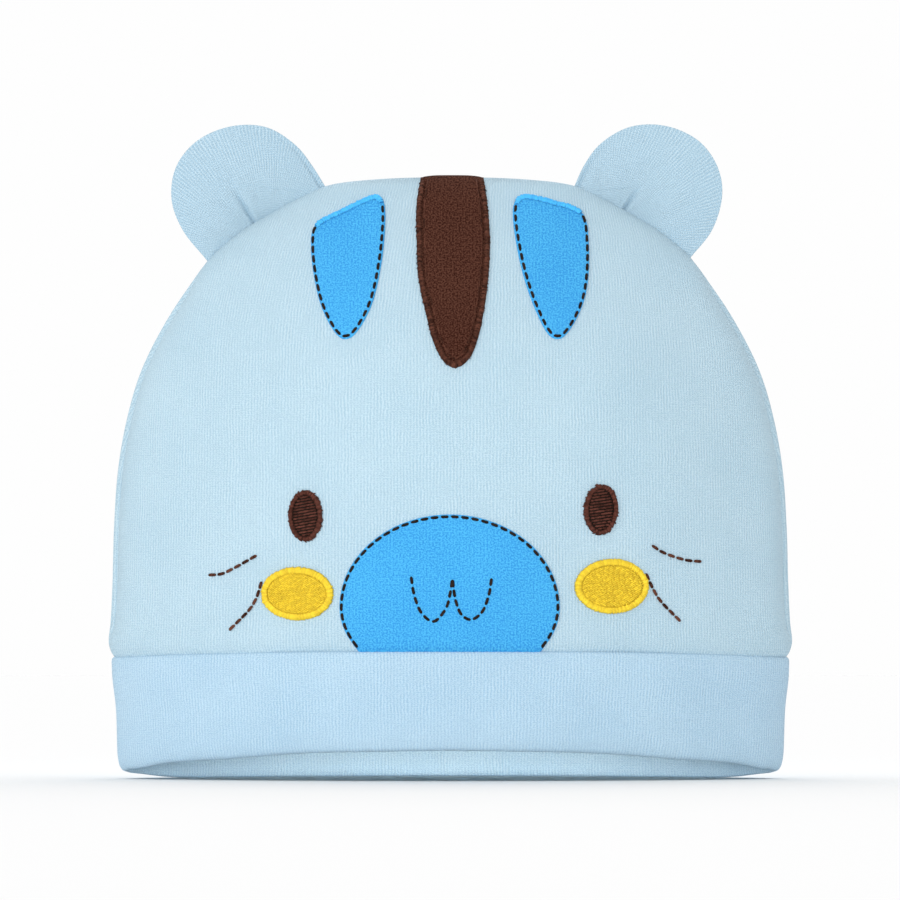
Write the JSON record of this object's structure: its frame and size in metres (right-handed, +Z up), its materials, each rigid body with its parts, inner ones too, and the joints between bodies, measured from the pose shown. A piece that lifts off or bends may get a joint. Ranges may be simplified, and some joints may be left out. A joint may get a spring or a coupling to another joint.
{
  "type": "animal ear cap",
  "caption": "Baby's soft knitted cap with a folded band, two padded round ears sewn into the top seam and a plain animal face of applique patches and embroidery.",
  "frame": {"origin": "on the surface that the band rests on, under the centre of the cap", "axes": "+X to the right of the face as seen from the front, -Y the way the face looks, +Z up"},
  "size_m": [0.1776, 0.0828, 0.1703],
  "materials": {
    "jersey": "brushed cotton jersey",
    "band_knit": "cotton rib jersey",
    "ear_knit": "cotton jersey over soft padding",
    "applique_blue": "bright blue jersey applique",
    "applique_brown": "brown twill applique with satin stitching",
    "applique_yellow": "yellow applique with satin stitching",
    "embroidery_dark": "dark brown embroidery thread"
  },
  "bodies": {
    "root": {"crown_front": "jersey", "crown_back": "jersey", "band": "band_knit", "ear_left": "ear_knit", "ear_right": "ear_knit", "stripe_centre": "applique_brown", "stripe_left": "applique_blue", "stripe_right": "applique_blue", "muzzle": "applique_blue", "cheek_left": "applique_yellow", "cheek_right": "applique_yellow", "eye_left": "embroidery_dark", "eye_right": "embroidery_dark"}
  },
  "joints": []
}
